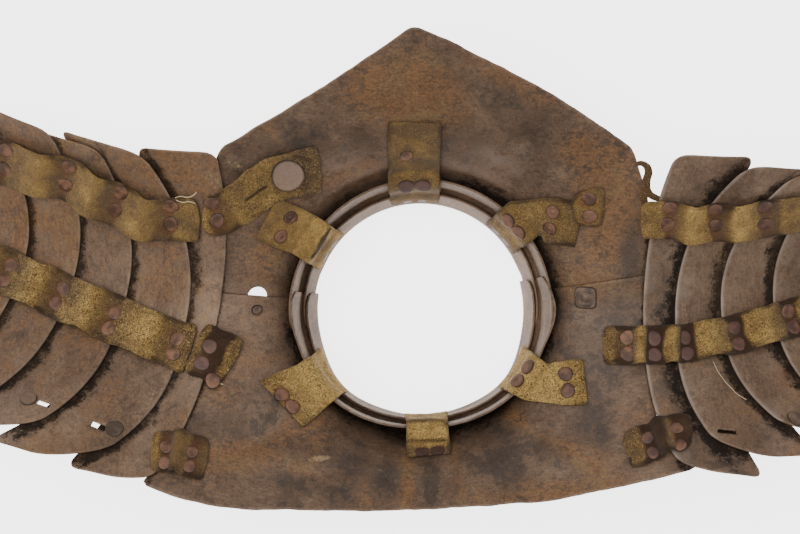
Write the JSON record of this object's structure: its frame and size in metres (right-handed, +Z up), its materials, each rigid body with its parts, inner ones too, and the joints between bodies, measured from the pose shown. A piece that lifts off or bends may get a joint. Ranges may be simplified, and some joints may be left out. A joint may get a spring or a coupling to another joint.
{
  "type": "plate gorget with laminated spaulders",
  "caption": "Steel neck guard of ringed plates with overlapping shoulder lames on leather straps, lying inside up.",
  "frame": {"origin": "centre of the bounding box on the plane of the collar's turned rim, on which the armour lies inside up", "axes": "+Z up, towards the wearer's feet as the armour lies inverted; +Y towards the wearer's front; +X towards the wearer's left"},
  "size_m": [0.7694, 0.2885, 0.1319],
  "materials": {
    "rusted_steel": "brown patina with rust, worn at the edges",
    "worn_steel": "dull grey-brown worn steel",
    "buff_leather": "ochre buff leather, scorched and dirty",
    "old_iron": "dull pinkish-brown hammered iron"
  },
  "bodies": {
    "root": {"back_plate": "rusted_steel", "collar_base_back": "worn_steel", "collar_base_front": "worn_steel", "collar_rim_back": "worn_steel", "collar_rim_front": "worn_steel", "front_plate": "rusted_steel", "front_remnant": "buff_leather", "keyhole_stud": "old_iron", "left_back_leather": "buff_leather", "left_front_leather": "buff_leather", "left_lame_1": "rusted_steel", "left_lame_2": "rusted_steel", "left_lame_3": "rusted_steel", "left_lame_4": "rusted_steel", "left_lame_5": "rusted_steel", "left_lame_6": "rusted_steel", "left_middle_leather": "buff_leather", "neck_leather_back": "buff_leather", "neck_leather_back_left": "buff_leather", "neck_leather_back_right": "buff_leather", "neck_leather_front": "buff_leather", "neck_leather_front_left": "buff_leather", "neck_leather_front_right": "buff_leather", "pivot_washer": "old_iron", "right_back_leather": "buff_leather", "right_front_leather": "buff_leather", "right_lame_1": "rusted_steel", "right_lame_2": "rusted_steel", "right_lame_3": "rusted_steel", "right_lame_4": "rusted_steel", "right_lame_5": "rusted_steel", "right_lame_6": "rusted_steel", "right_middle_leather": "buff_leather", "right_middle_patch": "buff_leather", "right_stud_leather": "buff_leather", "strap_stud": "old_iron"}
  },
  "joints": []
}
